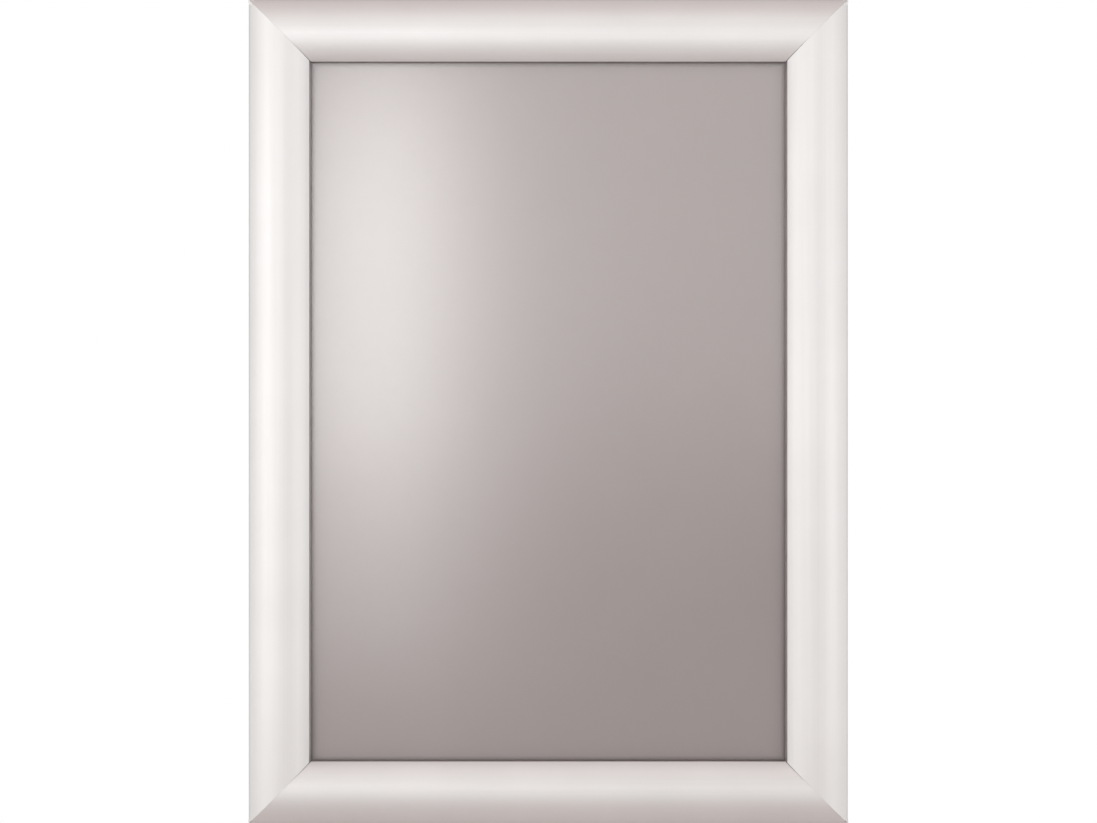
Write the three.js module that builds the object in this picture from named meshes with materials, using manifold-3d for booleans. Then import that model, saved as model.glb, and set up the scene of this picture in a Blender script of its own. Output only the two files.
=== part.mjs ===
// Wall-mounted aluminium poster frame for an A4 sheet: four base rails joined by corner keys, and four
// snap bars that flip open on them, each held by two leaf springs that work over a dead point.
//
// Millimetres, +Z up. The frame stands upright with its back on the wall plane Y = 0 and its face
// towards -Y. The origin is the middle of the frame on the wall plane.
//
// Every rail section is drawn in two numbers: u, the distance inwards from the outer edge of the frame,
// and z, the height above the wall.

import * as THREE from 'three';
import { mergeVertices } from 'three/addons/utils/BufferGeometryUtils.js';
import Module from 'manifold-3d';

const wasm = await Module();
wasm.setup();

// Whole frame
const FRAME_WIDTH = 240;
const FRAME_HEIGHT = 330;
const FRAME_DEPTH = 12;
const RAIL_WIDTH = 25;
const MITRE_GAP = 0.25;

// Snap bar
const FACE_WALL = 1.2;
const LIP_WALL = 1.2;
const LIP_EDGE_ROUND = 0.5;
const LIP_FOOT_ROUND = 0.4;

// Hinge: a bead on the base rail inside a curl on the snap bar
const HINGE_HEIGHT = 5.45;
const BEAD_RADIUS = 1.4;
const HINGE_CLEARANCE = 0.2;
const CURL_WALL = 1.0;
const STEM_WALL = 1.0;
const STEM_CLEARANCE = 0.25;
const OPEN_ANGLE = 90;

// Base rail
const BACK_WALL = 1.0;
const OUTER_WALL = 1.0;
const SWING_CLEARANCE = 0.3;
const RIB_WALL = 0.8;
const CHANNEL_WIDTH = 6.45;
const WEB_WALL = 0.8;
const CLAMP_WALL = 0.8;
const CLAMP_SETBACK = 0.6;
const GROOVE_DEPTH = 4.2;
const GROOVE_WALL = 1.0;
const KEY_LIP_WALL = 0.6;
const KEY_LIP_REACH = 0.7;

// Sheets
const PANEL_THICKNESS = 1.5;
const COVER_THICKNESS = 0.5;
const SHEET_GAP = 0.2;
const SHEET_EDGE_GAP = 0.3;

// Corner keys
const KEY_THICKNESS = 1.2;
const KEY_GAP = 0.2;
const KEY_ARM = 28;
const KEY_HOLE_RADIUS = 1;
const KEY_HOLE_FROM_TIP = 6;
const KEY_TIP_CHAMFER = 1.2;

// Leaf springs and the arm on the bar that they push against
const ARM_ANGLE = -38;
const ARM_REACH = 3.9;
const ARM_WALL = 1.3;
const ARM_FACE_ANGLE = -14;
const SPRING_THICKNESS = 0.4;
const SPRING_LENGTH = 40;
const SPRING_BOW = 2.6;
const SPRING_GAP = 0.1;
const SPRING_FROM_END = 62;

// Wall fixing holes in the two side rails
const HOLE_RADIUS = 2;
const HOLE_FROM_END = 34;

// Fineness of the curves: the most that a facet may lie inside its arc, and the facets round a hole
const ARC_TOLERANCE = 0.004;
const HOLE_FACETS = 32;

const radians = THREE.MathUtils.degToRad;
const degrees = THREE.MathUtils.radToDeg;

// Heights of the layers above the wall, from the back wall to the foot of the snap bar's lip
const panelBack = BACK_WALL + SHEET_GAP;
const clampBack = panelBack + PANEL_THICKNESS + SHEET_GAP;
const clampFront = clampBack + CLAMP_WALL;
const coverBack = clampFront + SHEET_GAP;
const coverFront = coverBack + COVER_THICKNESS;
const lipFoot = coverFront + SHEET_GAP;

// The curl is flush with the outer edge of the frame
const curlInside = BEAD_RADIUS + HINGE_CLEARANCE;
const curlOutside = curlInside + CURL_WALL;
const hinge = at(curlOutside, HINGE_HEIGHT);

// The face is an arc over the middle of the rail, up to the depth of the frame, and the curl touches it
// from inside. That sets its radius.
const hingeToMiddle = RAIL_WIDTH / 2 - hinge.x;
const hingeToFace = FRAME_DEPTH - hinge.y;
const hingeToCrestSquared = hingeToMiddle ** 2 + hingeToFace ** 2;
const faceRadius = (hingeToCrestSquared - curlOutside ** 2) / (2 * (hingeToFace - curlOutside));
const faceCentre = at(RAIL_WIDTH / 2, FRAME_DEPTH - faceRadius);

// Direction from the centre of the face arc, and from the hinge, to the point where arc and curl touch
const tangent = degrees(Math.atan2(hinge.y - faceCentre.y, hinge.x - faceCentre.x));

// Half the mouth of the curl, which lets the stem of the bead through
const mouth = STEM_WALL / 2 + STEM_CLEARANCE;

// The spring pushes on the end of the arm
const armEnd = polar(hinge, ARM_REACH, ARM_ANGLE);
const armHalf = ARM_WALL / 2;
const armSkew = armHalf * Math.tan(radians(ARM_FACE_ANGLE - ARM_ANGLE));
const armTipReach = Math.hypot(ARM_REACH + armSkew, armHalf);

// The key channel lies between the rib and the web. The rib stays clear of the swinging arm.
const keyLipBack = BACK_WALL + KEY_THICKNESS + 2 * KEY_GAP;
const keyLipFront = keyLipBack + KEY_LIP_WALL;
const swing = armTipReach + SWING_CLEARANCE;
const ribOutside = hinge.x + Math.sqrt(swing ** 2 - Math.max(0, hinge.y - keyLipFront) ** 2);
const ribInside = ribOutside + RIB_WALL;
const webOutside = ribInside + CHANNEL_WIDTH;
const webInside = webOutside + WEB_WALL;
const channelMiddle = (ribInside + webOutside) / 2;

// The clamp ends just outside the sight line, and the panel groove is cut below it
const clampEnd = RAIL_WIDTH - CLAMP_SETBACK;
const grooveEnd = clampEnd - GROOVE_DEPTH;
const grooveWeb = grooveEnd - GROOVE_WALL;

function at(u, z) {
  return new THREE.Vector2(u, z);
}

function polar(centre, radius, angle) {
  const turn = radians(angle);
  return at(centre.x + radius * Math.cos(turn), centre.y + radius * Math.sin(turn));
}

function angleTo(centre, point) {
  return degrees(Math.atan2(point.y - centre.y, point.x - centre.x));
}

// Points along an arc, both ends included. Angles are in degrees and may run either way.
function arc(centre, radius, from, to) {
  const finest = 2 * degrees(Math.acos(1 - Math.min(1, ARC_TOLERANCE / radius)));
  const count = Math.max(2, Math.ceil(Math.abs(to - from) / finest));
  const points = [];
  for (let i = 0; i <= count; i += 1) {
    points.push(polar(centre, radius, from + ((to - from) * i) / count));
  }
  return points;
}

// Height of an arc over u
function arcHeight(centre, radius, u) {
  return centre.y + Math.sqrt(radius ** 2 - (u - centre.x) ** 2);
}

function barSection() {
  // The lip hangs from the inner end of the face, with a rounded edge above and a rounded foot
  const edgeCentre = RAIL_WIDTH - LIP_EDGE_ROUND;
  const edge = at(edgeCentre, arcHeight(faceCentre, faceRadius - LIP_EDGE_ROUND, edgeCentre));
  const edgeStart = angleTo(faceCentre, edge);
  const lipInside = RAIL_WIDTH - LIP_WALL;
  const footFront = at(RAIL_WIDTH - LIP_FOOT_ROUND, lipFoot + LIP_FOOT_ROUND);
  const footBack = at(lipInside + LIP_FOOT_ROUND, lipFoot + LIP_FOOT_ROUND);
  const insideRadius = faceRadius - FACE_WALL;
  const lipTop = at(lipInside, arcHeight(faceCentre, insideRadius, lipInside));

  // Where the underside of the face meets the curl
  const apart = faceCentre.distanceTo(hinge);
  const cosine = (insideRadius ** 2 - apart ** 2 - curlOutside ** 2) / (2 * apart * curlOutside);
  const throatAngle = tangent - degrees(Math.acos(cosine));
  const throat = polar(hinge, curlOutside, throatAngle);

  // The mouth lets the stem pass: straight down when shut, straight outwards when fully open
  const mouthInside = degrees(Math.asin(mouth / curlInside));
  const mouthOutside = degrees(Math.asin(mouth / curlOutside));
  const shutStem = -90;
  const openStem = 270 - OPEN_ANGLE;

  // The arm leaves the curl and ends square to the middle of the spring's swing
  const armRoot = degrees(Math.asin(armHalf / curlOutside));
  const armUpper = polar(polar(hinge, ARM_REACH - armSkew, ARM_ANGLE), armHalf, ARM_ANGLE + 90);
  const armLower = polar(polar(hinge, ARM_REACH + armSkew, ARM_ANGLE), armHalf, ARM_ANGLE - 90);

  return [
    ...arc(hinge, curlOutside, openStem - mouthOutside, tangent).slice(0, -1),
    ...arc(faceCentre, faceRadius, tangent, edgeStart).slice(0, -1),
    ...arc(edge, LIP_EDGE_ROUND, edgeStart, 0),
    ...arc(footFront, LIP_FOOT_ROUND, 0, -90),
    ...arc(footBack, LIP_FOOT_ROUND, -90, -180),
    ...arc(faceCentre, insideRadius, angleTo(faceCentre, lipTop), angleTo(faceCentre, throat)).slice(0, -1),
    ...arc(hinge, curlOutside, throatAngle, ARM_ANGLE + armRoot),
    armUpper,
    armLower,
    ...arc(hinge, curlOutside, ARM_ANGLE - armRoot, shutStem + mouthOutside),
    ...arc(hinge, curlInside, shutStem + mouthInside, openStem - mouthInside),
  ];
}

function baseSection() {
  const outerWallTop = hinge.y - curlOutside - SWING_CLEARANCE;
  const stemHalf = STEM_WALL / 2;
  const beadNeck = degrees(Math.asin(stemHalf / BEAD_RADIUS));
  const corners = [
    [0, 0],
    [webInside, 0],
    [webInside, clampBack],
    [grooveWeb, clampBack],
    [grooveWeb, 0],
    [clampEnd, 0],
    [clampEnd, BACK_WALL],
    [grooveEnd, BACK_WALL],
    [grooveEnd, clampBack],
    [clampEnd, clampBack],
    [clampEnd, clampFront],
    [webInside, clampFront],
    [webInside, lipFoot],
    [webOutside, lipFoot],
    [webOutside, keyLipFront],
    [webOutside - KEY_LIP_REACH, keyLipFront],
    [webOutside - KEY_LIP_REACH, keyLipBack],
    [webOutside, keyLipBack],
    [webOutside, BACK_WALL],
    [ribInside, BACK_WALL],
    [ribInside, keyLipFront],
    [ribOutside, keyLipFront],
    [ribOutside, BACK_WALL],
    [hinge.x + stemHalf, BACK_WALL],
  ];
  const outside = [
    [hinge.x - stemHalf, BACK_WALL],
    [OUTER_WALL, BACK_WALL],
    [OUTER_WALL, outerWallTop],
    [0, outerWallTop],
  ];
  return [
    ...corners.map(([u, z]) => at(u, z)),
    ...arc(hinge, BEAD_RADIUS, beadNeck - 90, 270 - beadNeck),
    ...outside.map(([u, z]) => at(u, z)),
  ];
}

// A bowed strip between the arm on the bar and the corner above the key lip
function springSection() {
  const half = SPRING_THICKNESS / 2;
  const onArm = polar(armEnd, SPRING_GAP + half, ARM_FACE_ANGLE);
  const onBase = at(webOutside - SPRING_GAP - half, keyLipFront + SPRING_GAP + half);
  const chord = onArm.distanceTo(onBase);
  const radius = (chord ** 2 / 4 + SPRING_BOW ** 2) / (2 * SPRING_BOW);
  const down = angleTo(onArm, onBase) - 90;
  const middle = onArm.clone().add(onBase).multiplyScalar(0.5);
  const centre = polar(middle, radius - SPRING_BOW, down);
  const start = angleTo(centre, onArm);
  const end = angleTo(centre, onBase);
  return [...arc(centre, radius - half, start, end), ...arc(centre, radius + half, end, start)];
}

// Position-only copy of a geometry with its shared vertices joined
function joined(geometry) {
  const bare = geometry.clone();
  bare.deleteAttribute('normal');
  bare.deleteAttribute('uv');
  return mergeVertices(bare);
}

function toSolid(geometry) {
  const closed = joined(geometry);
  return new wasm.Manifold(
    new wasm.Mesh({
      numProp: 3,
      vertProperties: new Float32Array(closed.attributes.position.array),
      triVerts: new Uint32Array(closed.index.array),
    }),
  );
}

function toGeometry(solid) {
  const mesh = solid.getMesh();
  const geometry = new THREE.BufferGeometry();
  geometry.setAttribute('position', new THREE.BufferAttribute(mesh.vertProperties, 3));
  geometry.setIndex(new THREE.BufferAttribute(mesh.triVerts, 1));
  return geometry;
}

// A prism of the section, with X along it, Y for u and Z for the height. endInset(u) is how far each end
// is drawn back at u, which cuts the mitres.
function prism(section, length, endInset) {
  const settings = { depth: 1, steps: 1, bevelEnabled: false };
  const geometry = joined(new THREE.ExtrudeGeometry(new THREE.Shape(section), settings));
  const position = geometry.attributes.position;
  for (let i = 0; i < position.count; i += 1) {
    const u = position.getX(i);
    const z = position.getY(i);
    const end = position.getZ(i) === 0 ? -1 : 1;
    position.setXYZ(i, end * (length / 2 - endInset(u)), u, z);
  }
  return geometry;
}

function mitre(u) {
  return u + MITRE_GAP / Math.SQRT2;
}

function drilled(geometry, centres) {
  const drill = new THREE.CylinderGeometry(HOLE_RADIUS, HOLE_RADIUS, 2 * keyLipBack, HOLE_FACETS);
  drill.rotateX(Math.PI / 2);
  let solid = toSolid(geometry);
  for (const [x, y] of centres) {
    solid = solid.subtract(toSolid(drill.clone().translate(x, y, 0)));
  }
  return toGeometry(solid);
}

// The ends of a bar are relieved under its face, so that a bar can swing past the rail beside it, and past
// that rail's bar when both are open. The arm and the lower inside quarter of the curl stop where the
// arm's swing ends, and the outside of the curl stops where the curl reaches when it is turned right over.
function relieved(geometry, length) {
  const armEndZone = hinge.x + swing;
  const curlEndZone = hinge.x - mouth + SWING_CLEARANCE;
  const curlTop = polar(hinge, curlOutside, tangent).y;
  const inside = new THREE.BoxGeometry(2 * armEndZone, swing, 2 * hinge.y);
  const outside = new THREE.BoxGeometry(2 * curlEndZone, 2 * hinge.x, 2 * curlTop);
  let solid = toSolid(geometry);
  for (const end of [-length / 2, length / 2]) {
    solid = solid.subtract(toSolid(inside.clone().translate(end, hinge.x + swing / 2, 0)));
    solid = solid.subtract(toSolid(outside.clone().translate(end, 0, 0)));
  }
  return toGeometry(solid);
}

function sheet(width, height, back, thickness) {
  const geometry = new THREE.BoxGeometry(width, height, thickness);
  geometry.translate(0, 0, back + thickness / 2);
  return geometry;
}

// One flat key for the corner at the lower left, measured from the outer corner of the frame
function cornerKey() {
  const near = ribInside + KEY_GAP;
  const far = webOutside - KEY_GAP;
  const outline = [
    [near, near],
    [KEY_ARM - KEY_TIP_CHAMFER, near],
    [KEY_ARM, near + KEY_TIP_CHAMFER],
    [KEY_ARM, far - KEY_TIP_CHAMFER],
    [KEY_ARM - KEY_TIP_CHAMFER, far],
    [far, far],
    [far, KEY_ARM - KEY_TIP_CHAMFER],
    [far - KEY_TIP_CHAMFER, KEY_ARM],
    [near + KEY_TIP_CHAMFER, KEY_ARM],
    [near, KEY_ARM - KEY_TIP_CHAMFER],
  ];
  const shape = new THREE.Shape(outline.map(([x, y]) => at(x, y)));
  const holeAt = KEY_ARM - KEY_HOLE_FROM_TIP;
  for (const [x, y] of [[holeAt, channelMiddle], [channelMiddle, holeAt]]) {
    const hole = new THREE.Path();
    hole.absarc(x, y, KEY_HOLE_RADIUS, 0, 2 * Math.PI, true);
    shape.holes.push(hole);
  }
  const curveSegments = HOLE_FACETS / 2;
  const settings = { depth: KEY_THICKNESS, steps: 1, bevelEnabled: false, curveSegments };
  const geometry = new THREE.ExtrudeGeometry(shape, settings);
  geometry.translate(0, 0, BACK_WALL + KEY_GAP);
  return geometry;
}

function metal(color, roughness) {
  return new THREE.MeshStandardMaterial({ color, metalness: 0.9, roughness });
}

const anodised = () => metal(0xd9d9d8, 0.38);
const millFinish = () => metal(0xc4c5c6, 0.45);
const zincSteel = () => metal(0xb4b6b8, 0.4);
const springSteel = () => metal(0x8f9194, 0.3);
const styrene = () => new THREE.MeshStandardMaterial({ color: 0xa89f9d, metalness: 0, roughness: 0.6 });

function clearSheet() {
  const material = new THREE.MeshStandardMaterial({ color: 0xf2f2f2, metalness: 0, roughness: 0.35 });
  material.transparent = true;
  material.opacity = 0.3;
  return material;
}

function named(name, geometry, material) {
  const closed = joined(geometry);
  closed.computeVertexNormals();
  const mesh = new THREE.Mesh(closed, material);
  mesh.name = name;
  return mesh;
}

// The four sides, going round from the bottom. Each is drawn as the bottom rail and turned into place.
const sides = [
  { name: 'bottom', turn: 0, length: FRAME_WIDTH, out: FRAME_HEIGHT / 2, springs: ['left', 'right'] },
  { name: 'right', turn: 90, length: FRAME_HEIGHT, out: FRAME_WIDTH / 2, springs: ['lower', 'upper'] },
  { name: 'top', turn: 180, length: FRAME_WIDTH, out: FRAME_HEIGHT / 2, springs: ['right', 'left'] },
  { name: 'left', turn: 270, length: FRAME_HEIGHT, out: FRAME_WIDTH / 2, springs: ['upper', 'lower'] },
];

function side({ name, turn, length, out, springs }) {
  const group = new THREE.Group();
  const holds = turn % 180 === 90;
  const holeAlong = length / 2 - HOLE_FROM_END;
  const holes = holds ? [[-holeAlong, channelMiddle], [holeAlong, channelMiddle]] : [];
  const base = prism(baseSection(), length, mitre);
  group.add(named(`base_rail_${name}`, drilled(base, holes), millFinish()));
  const bar = prism(barSection(), length, mitre);
  group.add(named(`snap_bar_${name}`, relieved(bar, length), anodised()));

  const springAlong = length / 2 - SPRING_FROM_END;
  springs.forEach((place, i) => {
    const leaf = prism(springSection(), SPRING_LENGTH, () => 0);
    leaf.translate(i === 0 ? -springAlong : springAlong, 0, 0);
    group.add(named(`leaf_spring_${name}_${place}`, leaf, springSteel()));
  });

  const middle = new THREE.Group();
  middle.rotation.z = radians(turn);
  group.position.y = -out;
  middle.add(group);
  return middle;
}

function keys() {
  const group = new THREE.Group();
  const corners = [
    { name: 'bottom_left', x: -1, y: -1, turn: 0 },
    { name: 'bottom_right', x: 1, y: -1, turn: 90 },
    { name: 'top_right', x: 1, y: 1, turn: 180 },
    { name: 'top_left', x: -1, y: 1, turn: 270 },
  ];
  for (const { name, x, y, turn } of corners) {
    const key = named(`corner_key_${name}`, cornerKey(), zincSteel());
    key.position.set((x * FRAME_WIDTH) / 2, (y * FRAME_HEIGHT) / 2, 0);
    key.rotation.z = radians(turn);
    group.add(key);
  }
  return group;
}

function sheets() {
  const panelInset = 2 * (grooveEnd + SHEET_EDGE_GAP);
  const coverInset = 2 * (webInside + SHEET_EDGE_GAP);
  const panel = sheet(FRAME_WIDTH - panelInset, FRAME_HEIGHT - panelInset, panelBack, PANEL_THICKNESS);
  const cover = sheet(FRAME_WIDTH - coverInset, FRAME_HEIGHT - coverInset, coverBack, COVER_THICKNESS);
  const group = new THREE.Group();
  group.add(named('backing_panel', panel, styrene()));
  group.add(named('clear_cover', cover, clearSheet()));
  return group;
}

// Everything above is drawn as seen from the front, with Z out of the wall. This stands it upright.
const frame = new THREE.Group();
frame.name = 'aluminium_poster_frame';
frame.rotation.x = Math.PI / 2;
frame.add(...sides.map(side), keys(), sheets());

export default frame;
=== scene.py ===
# The looks of the aluminium poster frame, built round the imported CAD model.
# Metres, +Z up. The frame's back is on the plane Y = 0 and its face looks towards -Y.

import math
from functools import partial

import bmesh
import bpy
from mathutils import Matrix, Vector


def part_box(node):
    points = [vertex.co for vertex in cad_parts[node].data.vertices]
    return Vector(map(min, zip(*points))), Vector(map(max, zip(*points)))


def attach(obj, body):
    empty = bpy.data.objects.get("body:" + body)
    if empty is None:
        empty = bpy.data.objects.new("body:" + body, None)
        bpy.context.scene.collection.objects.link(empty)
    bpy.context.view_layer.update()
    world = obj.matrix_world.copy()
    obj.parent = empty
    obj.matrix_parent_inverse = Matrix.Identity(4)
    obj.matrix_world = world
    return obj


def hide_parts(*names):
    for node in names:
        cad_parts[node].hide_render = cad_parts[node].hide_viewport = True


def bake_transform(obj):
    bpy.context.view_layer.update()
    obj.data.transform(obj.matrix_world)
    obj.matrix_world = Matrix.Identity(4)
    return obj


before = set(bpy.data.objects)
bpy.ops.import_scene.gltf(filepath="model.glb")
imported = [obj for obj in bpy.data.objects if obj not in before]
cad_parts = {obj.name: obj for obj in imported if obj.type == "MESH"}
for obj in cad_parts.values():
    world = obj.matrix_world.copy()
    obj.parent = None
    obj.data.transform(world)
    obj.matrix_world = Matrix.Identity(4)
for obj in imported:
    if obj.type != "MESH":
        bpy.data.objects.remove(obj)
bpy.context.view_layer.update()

MM = 0.001

# The photograph: its width in pixels, the left and right edge of the frame in it, how far the middle of the
# frame is below the middle of the picture, and its scale at the level of the frame's outer edges
IMAGE_WIDTH = 1097
IMAGE_LEFT = 248.6
IMAGE_RIGHT = 848.0
IMAGE_DROP = 0.1
PIXELS_PER_METRE = 2496
RIM_DEPTH = 5.45 * MM
CAMERA_DISTANCE = 1.1
SENSOR_WIDTH = 36

# From the middle of the frame to its outer edge, along X, Y and Z
FRAME_HALF = (120 * MM, 6 * MM, 165 * MM)
BAR_INNER_EDGE = 25 * MM

BARS = ("top", "bottom", "left", "right")
CORNERS = ("top_left", "top_right", "bottom_left", "bottom_right")
LENGTHWISE = {"top": "X", "bottom": "X", "left": "Z", "right": "Z"}

# Edges that a saw, a press or an extrusion die leaves very slightly rounded
EDGE_ROUND = 0.08 * MM
EDGE_SEGMENTS = 2
EDGE_PROFILE = 0.5
SHARP_ANGLE = math.radians(30)
SMOOTH_ANGLE = math.radians(26)
FLAT_ANGLE = math.radians(0.3)

# Points nearer than this are one point: in the solid, and after a bar is fitted to its neighbours
SAME_POINT = 0.001 * MM
CLOSE_POINT = 0.02 * MM

# Above the level of the hinge, the bars meet closer at the mitres than the clearance between their solids:
# nearly tight along the face, and a little open beside the lip
MITRE_CLOSING = 0.155 * MM
MITRE_OPENING = 0.155 * MM
MITRE_OPENS_AT = 17 * MM
HINGE_LEVEL = 5.4 * MM

# The lip leans back from its foot to the end of the bar's face, as distances from the bar's outer edge and
# from the wall
LIP_TOP = (24.358 * MM, 7.174 * MM)
LIP_FOOT = (25 * MM, 5.0 * MM)

# How much of that lean a bar has that runs along each axis: the lips of the top and bottom bars are upright
LIP_LEAN = {"X": 0, "Z": 1}

# A face at the lip belongs to its wall where it looks at least this squarely inwards
LIP_FACING = 0.8

# The outer edge of the face above the relief at each end of a bar, and where it is drawn out to, so that
# the corners of the frame are square from the front: distances from the bar's outer edge and from the wall
RELIEF_TOP = (0.81 * MM, 7.336 * MM)
CORNER_EDGE = (0.05 * MM, 6.7 * MM)
CORNER_TIP = (0.05 * MM, 8.1 * MM)

# How far the relief reaches back from the end of a bar, half the stretch over which the drawn-out edge goes
# back to its place there, and how near to that edge its points are
RELIEF_LENGTH = 2.15 * MM
RELIEF_MARGIN = 0.2 * MM
RELIEF_NEAR = 2 * EDGE_ROUND

# Metals: their darker and lighter tone, how rough they are, and how deep their die lines or how fine their
# grain is
ANODISED = {
    "dark": (0.86, 0.86, 0.855),
    "light": (0.89, 0.89, 0.885),
    "roughness": (0.5, 0.58),
    "line_depth": 0.01 * MM,
}
MILL_FINISH = {
    "dark": (0.66, 0.665, 0.67),
    "light": (0.74, 0.745, 0.75),
    "roughness": (0.3, 0.46),
    "line_depth": 0.02 * MM,
}
ZINC_PLATED = {
    "dark": (0.56, 0.57, 0.58),
    "light": (0.68, 0.68, 0.67),
    "roughness": (0.28, 0.45),
    "grain_scale": 1800,
}
BLUED_STEEL = {
    "dark": (0.3, 0.31, 0.34),
    "light": (0.42, 0.42, 0.43),
    "roughness": (0.22, 0.34),
    "grain_scale": 2600,
}
# Painted shade: a darker metal on the inner walls of the lips, standing in for the shade there
LIP_WALL_PAINTED_SHADE = {
    "dark": (0.58, 0.555, 0.55),
    "light": (0.64, 0.615, 0.61),
    "roughness": (0.45, 0.55),
    "grain_scale": 2600,
}

# How much of the light the aluminium still mirrors at a steep angle
STEEP_TINT = (0.5, 0.48, 0.48, 1)

# Aluminium: die lines per metre along and across a rail, and the etched grain and the slow change of tone
LINES_ALONG = 6
LINES_ACROSS = 1800
LINE_STRENGTH = 0.4
ETCH_SCALE = 5200
ETCH_DEPTH = 0.012 * MM
ETCH_STRENGTH = 0.5
TONE_SCALE = 28

# Thin finishes on metal: their patches and their grain
PATCH_SCALE = 240
PATCH_ROUGHNESS = 0.6
GRAIN_DEPTH = 0.01 * MM
GRAIN_STRENGTH = 0.5

# The backing sheet
STYRENE_DARK = (0.352, 0.298, 0.297)
STYRENE_LIGHT = (0.367, 0.31, 0.309)
STYRENE_ROUGHNESS = (0.28, 0.34)
STYRENE_TONE_SCALE = 16
STYRENE_GRAIN_SCALE = 2600
STYRENE_GRAIN_DEPTH = 0.004 * MM
STYRENE_GRAIN_STRENGTH = 0.3

# The cover: what it mirrors and what it lets through, each in the open and then with painted shade beside
# the lips of the bars
COVER_MIRRORS = ((0.8, 0.8, 0.8), (0.5, 0.49, 0.49))
COVER_PASSES = ((0.985, 0.985, 0.98), (0.78, 0.77, 0.765))
COVER_ROUGHNESS = (0.2, 0.235)
COVER_GRAIN_SCALE = 3400
COVER_FACING_BLEND = 0.5
COVER_LEAST_GLOSS = 0.065
COVER_GLOSS_POWER = 5

# The painted shade on the cover beside the lips of the bars: how far it reaches, and how fast it falls off
PAINTED_SHADE_REACH = 4 * MM
PAINTED_SHADE_POWER = 4

# A noise texture stays near one half: the values between which it mostly lies
NOISE_RANGE = (0.3, 0.7)

# Soft lamps: where each one is, its width and height, and its power
LAMPS = {
    "left_box": ((-0.38, -0.38, 0.03), (0.3, 0.45), 0.34),
    "right_box": ((0.52, -0.55, 0.04), (0.33, 0.5), 0.37),
    "front_box": ((-0.142, -1.16, 0.117), (0.08, 0.32), 0.65),
    "top_box": ((0, -0.5, 0.5), (0.6, 0.2), 0.29),
}

# Lamps that light the cover alone: the tall glare on it, and a wide glow
COVER_LAMPS = {
    "glare_box": ((-0.142, -1.16, 0.07), (0.07, 0.55), 0.76),
    "glow_box": ((0.25, -1.16, 0.4), (0.6, 0.9), 2.2),
}

# Room: the light from it, from straight down (-1) to straight up (1), and from straight ahead (-1) to
# straight behind (1). The two are multiplied.
HEIGHT_STOPS = (
    (-1, (1.0, 1.0, 1.0)),
    (-0.6, (1.18, 1.18, 1.18)),
    (-0.2, (1.16, 1.16, 1.16)),
    (0.1, (0.88, 0.86, 0.85)),
    (0.4, (0.66, 0.6, 0.58)),
    (0.7, (0.62, 0.55, 0.53)),
    (1, (0.72, 0.63, 0.62)),
)
DEPTH_STOPS = (
    (-1, (0.78,) * 3),
    (-0.6, (1.0,) * 3),
    (-0.1, (1.0,) * 3),
    (0.1, (0.95,) * 3),
    (0.5, (0.62,) * 3),
    (0.8, (0.72,) * 3),
    (1, (0.95,) * 3),
)

# Where a colour ramp gets each new stop, before it goes to its own place
RAMP_MIDDLE = 0.5

# The floor, which fades out from this distance to its edge
FLOOR_HEIGHT = -0.45
FLOOR_RADIUS = 1.6
FLOOR_FADE_START = 0.7
FLOOR_FACETS = 96
FLOOR_COLOUR = (0.83, 0.795, 0.785, 1)
FLOOR_ROUGHNESS = 0.9


class Nodes:
    """The nodes of one material or of the world."""

    def __init__(self, tree):
        self.tree = tree
        self.link = tree.links.new

    def add(self, kind, **values):
        """A new node, with values for its inputs or its settings."""
        node = self.tree.nodes.new(kind)
        for key, value in values.items():
            if key in node.inputs:
                node.inputs[key].default_value = value
            else:
                setattr(node, key, value)
        return node

    def remap(self, value, old, new, **settings):
        """Brings a value from the old range to the new one."""
        node = self.add("ShaderNodeMapRange", **settings)
        for name, number in zip(("From Min", "From Max", "To Min", "To Max"), (*old, *new)):
            node.inputs[name].default_value = number
        self.link(value, node.inputs["Value"])
        return node.outputs["Result"]

    def compute(self, operation, *values, **settings):
        """One step of arithmetic on numbers and values of other nodes."""
        node = self.add("ShaderNodeMath", operation=operation, **settings)
        for slot, value in enumerate(values):
            if isinstance(value, (int, float)):
                node.inputs[slot].default_value = value
            else:
                self.link(value, node.inputs[slot])
        return node.outputs["Value"]

    def coordinates(self, scale=(1, 1, 1)):
        """Object coordinates in metres, scaled along each axis."""
        place = self.add("ShaderNodeTexCoord")
        mapping = self.add("ShaderNodeMapping", Scale=scale)
        self.link(place.outputs["Object"], mapping.inputs["Vector"])
        return mapping.outputs["Vector"]

    def noise(self, vector, scale, detail=2, roughness=0.5):
        node = self.add("ShaderNodeTexNoise", Scale=scale, Detail=detail, Roughness=roughness)
        self.link(vector, node.inputs["Vector"])
        return node.outputs["Fac"]

    def tones(self, value, dark, light):
        """A colour between dark and light."""
        node = self.add("ShaderNodeMix", data_type="RGBA")
        node.inputs["A"].default_value = (*dark, 1)
        node.inputs["B"].default_value = (*light, 1)
        self.link(value, node.inputs["Factor"])
        return node.outputs["Result"]

    def bump(self, shader, height, depth, strength, before=None):
        """Raises the surface by a texture, over the one before it where there is one."""
        node = self.add("ShaderNodeBump", Strength=strength, Distance=depth)
        self.link(height, node.inputs["Height"])
        if before is not None:
            self.link(before, node.inputs["Normal"])
        self.link(node.outputs["Normal"], shader.inputs["Normal"])
        return node.outputs["Normal"]

    def ramp(self, value, stops):
        """A colour that runs through the stops, each a value from -1 to 1 with its colour."""
        node = self.add("ShaderNodeValToRGB")
        self.link(self.remap(value, (-1, 1), (0, 1)), node.inputs["Fac"])
        elements = node.color_ramp.elements
        while len(elements) < len(stops):
            elements.new(RAMP_MIDDLE)
        for element, (position, colour) in zip(elements, stops):
            element.position = (position + 1) / 2
            element.color = (*colour, 1)
        return node.outputs["Color"]


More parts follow.
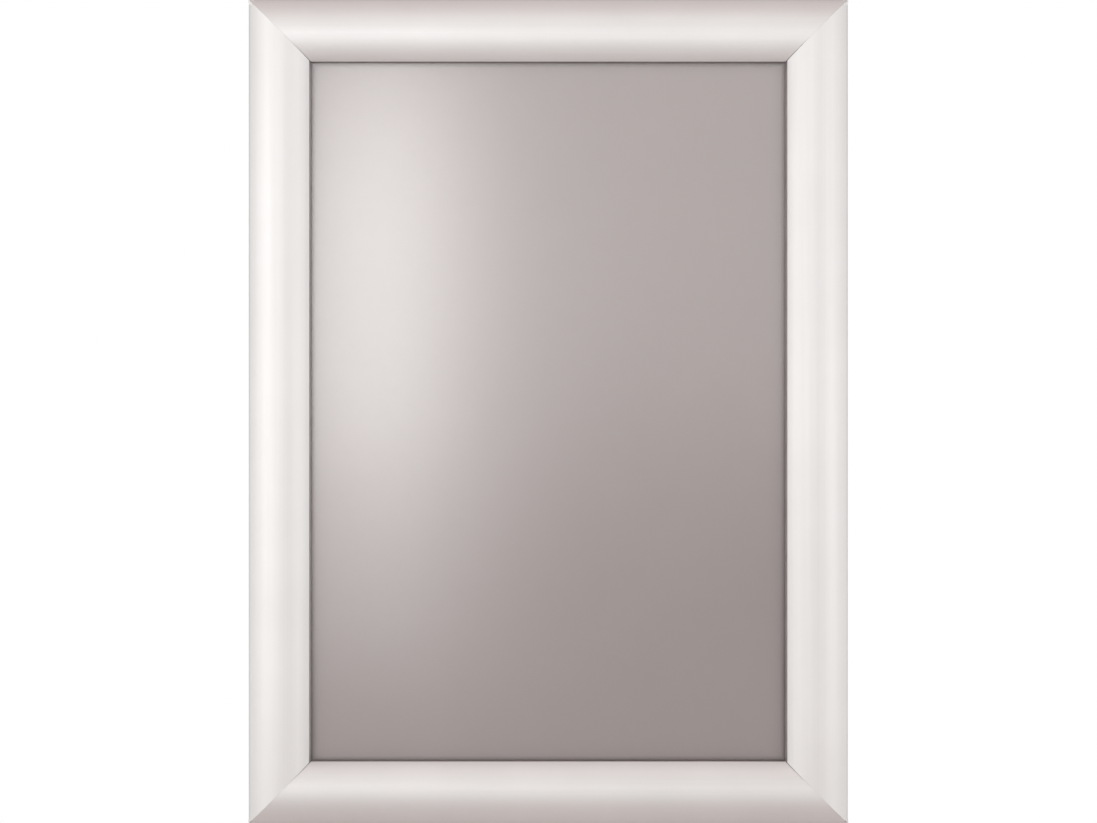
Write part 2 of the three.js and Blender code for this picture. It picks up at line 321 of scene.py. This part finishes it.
def new_material(name):
    """A node material, its shader and its nodes."""
    material = bpy.data.materials.new(name)
    material.use_nodes = True
    nodes = Nodes(material.node_tree)
    return material, nodes.tree.nodes["Principled BSDF"], nodes


def aluminium(name, axis, dark, light, roughness, line_depth):
    """Extruded aluminium: fine die lines along the rail and an etched grain."""
    material, shader, nodes = new_material(name)
    shader.inputs["Metallic"].default_value = 1.0
    shader.inputs["Specular Tint"].default_value = STEEP_TINT
    streaks = tuple(LINES_ALONG if letter == axis else LINES_ACROSS for letter in "XYZ")
    at = nodes.coordinates()
    lines = nodes.noise(nodes.coordinates(streaks), 1, detail=3)
    grain = nodes.noise(at, ETCH_SCALE)
    tone = nodes.remap(nodes.noise(at, TONE_SCALE, detail=3), NOISE_RANGE, (0, 1))
    nodes.link(nodes.tones(tone, dark, light), shader.inputs["Base Color"])
    nodes.link(nodes.remap(lines, NOISE_RANGE, roughness), shader.inputs["Roughness"])
    etched = nodes.bump(shader, grain, ETCH_DEPTH, ETCH_STRENGTH)
    nodes.bump(shader, lines, line_depth, LINE_STRENGTH, etched)
    return material


def plated_steel(name, dark, light, roughness, grain_scale):
    """Metal with a thin finish that varies from patch to patch."""
    material, shader, nodes = new_material(name)
    shader.inputs["Metallic"].default_value = 1.0
    at = nodes.coordinates()
    patches = nodes.noise(at, PATCH_SCALE, detail=4, roughness=PATCH_ROUGHNESS)
    grain = nodes.noise(at, grain_scale)
    tone = nodes.remap(patches, NOISE_RANGE, (0, 1))
    nodes.link(nodes.tones(tone, dark, light), shader.inputs["Base Color"])
    nodes.link(nodes.remap(patches, NOISE_RANGE, roughness), shader.inputs["Roughness"])
    nodes.bump(shader, grain, GRAIN_DEPTH, GRAIN_STRENGTH)
    return material


def styrene():
    """The backing sheet: warm grey plastic with a faint cast texture."""
    material, shader, nodes = new_material("styrene")
    at = nodes.coordinates()
    grain = nodes.noise(at, STYRENE_GRAIN_SCALE, detail=3)
    tone = nodes.remap(nodes.noise(at, STYRENE_TONE_SCALE, detail=3), NOISE_RANGE, (0, 1))
    nodes.link(nodes.tones(tone, STYRENE_DARK, STYRENE_LIGHT), shader.inputs["Base Color"])
    nodes.link(nodes.remap(grain, NOISE_RANGE, STYRENE_ROUGHNESS), shader.inputs["Roughness"])
    nodes.bump(shader, grain, STYRENE_GRAIN_DEPTH, STYRENE_GRAIN_STRENGTH)
    return material


def painted_lip_shade(nodes):
    """Painted shade: a value that rises to 1 where the lips of the bars rest on the cover."""
    place = nodes.add("ShaderNodeTexCoord")
    parts = nodes.add("ShaderNodeSeparateXYZ")
    nodes.link(place.outputs["Object"], parts.inputs["Vector"])
    inside = []
    for axis, letter in ((0, "X"), (2, "Z")):
        from_middle = nodes.compute("ABSOLUTE", parts.outputs[letter])
        inside.append(nodes.compute("SUBTRACT", FRAME_HALF[axis] - BAR_INNER_EDGE, from_middle))
    away = nodes.compute("ABSOLUTE", nodes.compute("MINIMUM", *inside))
    return nodes.compute("POWER", nodes.remap(away, (0, PAINTED_SHADE_REACH), (1, 0)), PAINTED_SHADE_POWER)


def clear_sheet():
    """The anti-glare cover: clear, with a surface that spreads what it mirrors, and painted shade beside
    the lips.
    """
    material, shader, nodes = new_material("clear_sheet")
    grain = nodes.noise(nodes.coordinates(), COVER_GRAIN_SCALE)
    gloss = nodes.add("ShaderNodeBsdfGlossy")
    clear = nodes.add("ShaderNodeBsdfTransparent")
    # Painted shade: beside the lips the cover mirrors and lets through less light
    painted_shade = painted_lip_shade(nodes)
    nodes.link(nodes.tones(painted_shade, *COVER_MIRRORS), gloss.inputs["Color"])
    nodes.link(nodes.tones(painted_shade, *COVER_PASSES), clear.inputs["Color"])
    nodes.link(nodes.remap(grain, NOISE_RANGE, COVER_ROUGHNESS), gloss.inputs["Roughness"])
    facing = nodes.add("ShaderNodeLayerWeight", Blend=COVER_FACING_BLEND)
    steep = nodes.compute("POWER", facing.outputs["Facing"], COVER_GLOSS_POWER)
    mix = nodes.add("ShaderNodeMixShader")
    nodes.link(nodes.remap(steep, (0, 1), (COVER_LEAST_GLOSS, 1)), mix.inputs["Fac"])
    nodes.link(clear.outputs["BSDF"], mix.inputs[1])
    nodes.link(gloss.outputs["BSDF"], mix.inputs[2])
    nodes.link(mix.outputs["Shader"], nodes.tree.nodes["Material Output"].inputs["Surface"])
    nodes.tree.nodes.remove(shader)
    return material


def axes_of(side):
    """The axes across and along the bar or rail on one side of the frame."""
    return (2, 0) if LENGTHWISE[side] == "X" else (0, 2)


def square_corners(bm, side):
    """Draws the outer edge of a bar's face out over the relief at each end."""
    across, along = axes_of(side)
    end = FRAME_HALF[along]
    for back in (RELIEF_LENGTH + RELIEF_MARGIN, RELIEF_LENGTH - RELIEF_MARGIN):
        for way in (-1, 1):
            place, facing = Vector(), Vector()
            place[along] = way * (end - back)
            facing[along] = 1
            everything = [*bm.verts, *bm.edges, *bm.faces]
            bmesh.ops.bisect_plane(bm, geom=everything, plane_co=place, plane_no=facing)
    for vert in bm.verts:
        inwards = FRAME_HALF[across] - abs(vert.co[across])
        from_edge = Vector((inwards - RELIEF_TOP[0], -vert.co.y - RELIEF_TOP[1]))
        back = end - abs(vert.co[along])
        if from_edge.length < RELIEF_NEAR and back < RELIEF_LENGTH - RELIEF_MARGIN / 2:
            at_tip = back < RELIEF_LENGTH / 2
            new_inwards, new_level = CORNER_TIP if at_tip else CORNER_EDGE
            out = RELIEF_TOP[0] - new_inwards
            vert.co[across] += math.copysign(out, vert.co[across])
            vert.co.y -= new_level - RELIEF_TOP[1]
            if at_tip:
                vert.co[along] += math.copysign(out, vert.co[along])


def fit_bar(bm, side):
    """Leans the lip of a side bar back and brings the mitres of any bar closer to its neighbours."""
    across, along = axes_of(side)
    lean = (LIP_FOOT[0] - LIP_TOP[0]) / (LIP_TOP[1] - LIP_FOOT[1])
    share = LIP_LEAN[LENGTHWISE[side]]
    for vert in bm.verts:
        inwards = FRAME_HALF[across] - abs(vert.co[across])
        level = -vert.co.y
        in_lip = level > LIP_FOOT[1] and inwards > LIP_TOP[0]
        leaning = LIP_TOP[0] + lean * (LIP_TOP[1] - level)
        back = (inwards - leaning) * share if in_lip else 0
        opening = max(0, inwards - MITRE_OPENS_AT) / (BAR_INNER_EDGE - MITRE_OPENS_AT)
        closing = MITRE_CLOSING - MITRE_OPENING * opening if level > HINGE_LEVEL else 0
        vert.co[across] += math.copysign(back, vert.co[across])
        vert.co[along] += math.copysign(back + closing, vert.co[along])


def round_edges(bm):
    """Makes flat faces whole again that the solid has in pieces, and rounds the sharp edges."""
    bmesh.ops.dissolve_limit(
        bm,
        angle_limit=FLAT_ANGLE,
        verts=bm.verts,
        edges=bm.edges,
        use_dissolve_boundaries=False,
    )
    sharp = [edge for edge in bm.edges if edge.is_manifold and edge.calc_face_angle() > SHARP_ANGLE]
    bmesh.ops.bevel(
        bm,
        geom=sharp,
        offset=EDGE_ROUND,
        segments=EDGE_SEGMENTS,
        profile=EDGE_PROFILE,
        affect="EDGES",
        clamp_overlap=True,
    )


def refined(node, name, shape=None, last_shape=None):
    """A copy of a CAD solid with joined points, slightly rounded edges and smooth curves. It is shaped
    before its edges are rounded, and once more after that, where functions for it are given."""
    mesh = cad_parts[node].data.copy()
    mesh.name = name
    bm = bmesh.new()
    bm.from_mesh(mesh)
    bmesh.ops.remove_doubles(bm, verts=bm.verts, dist=SAME_POINT)
    if shape:
        shape(bm)
        bmesh.ops.remove_doubles(bm, verts=bm.verts, dist=CLOSE_POINT)
    round_edges(bm)
    if last_shape:
        last_shape(bm)
    for face in bm.faces:
        face.smooth = True
    bm.to_mesh(mesh)
    bm.free()
    mesh.set_sharp_from_angle(angle=SMOOTH_ANGLE)
    mesh.materials.clear()
    piece = bpy.data.objects.new(name, mesh)
    bpy.context.scene.collection.objects.link(piece)
    weigh_normals(piece)
    return piece


def weigh_normals(piece):
    """Lets the large faces set the shading at each edge, so that the rounded edges don't tilt it."""
    weights = piece.modifiers.new("weights", "WEIGHTED_NORMAL")
    weights.keep_sharp = True
    seen = piece.evaluated_get(bpy.context.evaluated_depsgraph_get())
    mesh = bpy.data.meshes.new_from_object(seen)
    mesh.name = piece.name
    piece.modifiers.clear()
    piece.data = mesh


def paint_lip_wall_shade(piece, side, material):
    """Paints the inner wall of the lip darker than the face: painted shade where the light hardly reaches.
    """
    across, _ = axes_of(side)
    piece.data.materials.append(material)
    for face in piece.data.polygons:
        inwards = FRAME_HALF[across] - abs(face.center[across])
        looks_inwards = face.normal[across] * face.center[across] < 0
        upright = abs(face.normal[across]) > LIP_FACING
        if inwards > LIP_TOP[0] and looks_inwards and upright:
            face.material_index = 1


def finish_piece(piece, node, body, material):
    """Gives a piece its material, and its place in the assembly."""
    piece.data.materials.append(material)
    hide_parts(node)
    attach(piece, body)


def snap_bars():
    finish = {axis: aluminium(f"anodised_{axis.lower()}", axis, **ANODISED) for axis in "XZ"}
    # Painted shade for the inner walls of the lips
    lip = plated_steel("lip_wall_painted_shade", **LIP_WALL_PAINTED_SHADE)
    for side in BARS:
        node = f"snap_bar_{side}"
        piece = refined(
            node,
            f"bar_{side}",
            shape=partial(fit_bar, side=side),
            last_shape=partial(square_corners, side=side),
        )
        finish_piece(piece, node, f"{side}_bar", finish[LENGTHWISE[side]])
        paint_lip_wall_shade(piece, side, lip)


def base_rails():
    finish = {axis: aluminium(f"mill_{axis.lower()}", axis, **MILL_FINISH) for axis in "XZ"}
    for side in BARS:
        node = f"base_rail_{side}"
        piece = refined(node, f"rail_{side}")
        finish_piece(piece, node, "base_frame", finish[LENGTHWISE[side]])


def corner_keys():
    zinc = plated_steel("zinc_plated", **ZINC_PLATED)
    for corner in CORNERS:
        node = f"corner_key_{corner}"
        piece = refined(node, f"key_{corner}")
        finish_piece(piece, node, "base_frame", zinc)


def leaf_springs():
    """Copies of the leaf springs in blued spring steel, in place of their CAD solids."""
    blued = plated_steel("spring_steel", **BLUED_STEEL)
    for node in sorted(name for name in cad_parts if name.startswith("leaf_spring_")):
        side = node.split("_")[2]
        across, _ = axes_of(side)
        piece = refined(node, node.replace("leaf_spring", "leaf"))
        piece.data.materials.append(blued)
        low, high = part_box(node)
        middle = (low + high) / 2
        start, end = middle.copy(), middle.copy()
        start[across], end[across] = sorted((low[across], high[across]), key=abs)
        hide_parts(node)
        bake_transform(piece)


def sheets():
    """The backing panel and the clear cover. Hands back the cover, which has lamps of its own."""
    panel = refined("backing_panel", "panel")
    finish_piece(panel, "backing_panel", "base_frame", styrene())
    cover = refined("clear_cover", "cover")
    finish_piece(cover, "clear_cover", "base_frame", clear_sheet())
    return cover


def camera():
    data = bpy.data.cameras.new("camera")
    data.sensor_width = SENSOR_WIDTH
    seen_width = IMAGE_WIDTH / PIXELS_PER_METRE
    data.lens = SENSOR_WIDTH * (CAMERA_DISTANCE - RIM_DEPTH) / seen_width
    view = bpy.data.objects.new("camera", data)
    off_centre = IMAGE_WIDTH / 2 - (IMAGE_LEFT + IMAGE_RIGHT) / 2
    view.location.x = off_centre / PIXELS_PER_METRE
    view.location.y = -CAMERA_DISTANCE
    view.location.z = IMAGE_DROP / PIXELS_PER_METRE
    view.rotation_euler = (math.pi / 2, 0, 0)
    bpy.context.scene.collection.objects.link(view)
    bpy.context.scene.camera = view


def softbox(name, place, size, power, only=None):
    """A soft lamp that faces the middle of the frame. It lights one piece alone where one is given."""
    data = bpy.data.lights.new(name, "AREA")
    data.shape = "RECTANGLE"
    data.size, data.size_y = size
    data.energy = power
    lamp = bpy.data.objects.new(name, data)
    lamp.location = place
    lamp.rotation_euler = (-Vector(place)).to_track_quat("-Z", "Y").to_euler()
    bpy.context.scene.collection.objects.link(lamp)
    if only:
        lit = bpy.data.collections.new(name)
        lit.objects.link(only)
        lamp.light_linking.receiver_collection = lit


def lamps(cover):
    for name, values in LAMPS.items():
        softbox(name, *values)
    for name, values in COVER_LAMPS.items():
        softbox(name, *values, only=cover)


def room_light():
    """White to the eye all round. The light that reaches the frame is bright from below, dimmer and warmer
    from above, and dimmer from straight ahead and from behind."""
    world = bpy.data.worlds.new("room")
    bpy.context.scene.world = world
    world.use_nodes = True
    world.node_tree.nodes.clear()
    nodes = Nodes(world.node_tree)
    direction = nodes.add("ShaderNodeTexCoord")
    parts = nodes.add("ShaderNodeSeparateXYZ")
    nodes.link(direction.outputs["Generated"], parts.inputs["Vector"])
    both = nodes.add("ShaderNodeMix", data_type="RGBA", blend_type="MULTIPLY")
    both.inputs["Factor"].default_value = 1
    nodes.link(nodes.ramp(parts.outputs["Z"], HEIGHT_STOPS), both.inputs["A"])
    nodes.link(nodes.ramp(parts.outputs["Y"], DEPTH_STOPS), both.inputs["B"])
    mirrored = nodes.add("ShaderNodeBackground")
    nodes.link(both.outputs["Result"], mirrored.inputs["Color"])
    white = nodes.add("ShaderNodeBackground", Color=(1, 1, 1, 1))
    paths = nodes.add("ShaderNodeLightPath")
    seen = nodes.compute("MAXIMUM", paths.outputs["Is Camera Ray"], paths.outputs["Is Transmission Ray"])
    shown = nodes.add("ShaderNodeMixShader")
    nodes.link(seen, shown.inputs["Fac"])
    nodes.link(mirrored.outputs["Background"], shown.inputs[1])
    nodes.link(white.outputs["Background"], shown.inputs[2])
    output = nodes.add("ShaderNodeOutputWorld")
    nodes.link(shown.outputs["Shader"], output.inputs["Surface"])


def floor_paint():
    """Pale paint that fades out towards the floor's edge, and that isn't there from below."""
    material, shader, nodes = new_material("floor")
    shader.inputs["Base Color"].default_value = FLOOR_COLOUR
    shader.inputs["Roughness"].default_value = FLOOR_ROUGHNESS
    place = nodes.add("ShaderNodeTexCoord")
    distance = nodes.add("ShaderNodeVectorMath", operation="LENGTH")
    nodes.link(place.outputs["Object"], distance.inputs[0])
    fade = nodes.remap(
        distance.outputs["Value"],
        (FLOOR_FADE_START, FLOOR_RADIUS),
        (1, 0),
        interpolation_type="SMOOTHSTEP",
    )
    side = nodes.add("ShaderNodeNewGeometry")
    above = nodes.compute("SUBTRACT", fade, side.outputs["Backfacing"], use_clamp=True)
    nodes.link(above, shader.inputs["Alpha"])
    return material


def floor():
    """A pale floor under the hanging frame, which fades out before the main view could reach it."""
    bm = bmesh.new()
    bmesh.ops.create_circle(bm, cap_ends=True, radius=FLOOR_RADIUS, segments=FLOOR_FACETS)
    mesh = bpy.data.meshes.new("floor")
    bm.to_mesh(mesh)
    bm.free()
    mesh.materials.append(floor_paint())
    ground = bpy.data.objects.new("floor", mesh)
    ground.location = (0, 0, FLOOR_HEIGHT)
    bpy.context.scene.collection.objects.link(ground)


snap_bars()
base_rails()
corner_keys()
leaf_springs()
clear_cover = sheets()
camera()
lamps(clear_cover)
room_light()
floor()

bpy.context.scene.view_settings.view_transform = "Standard"
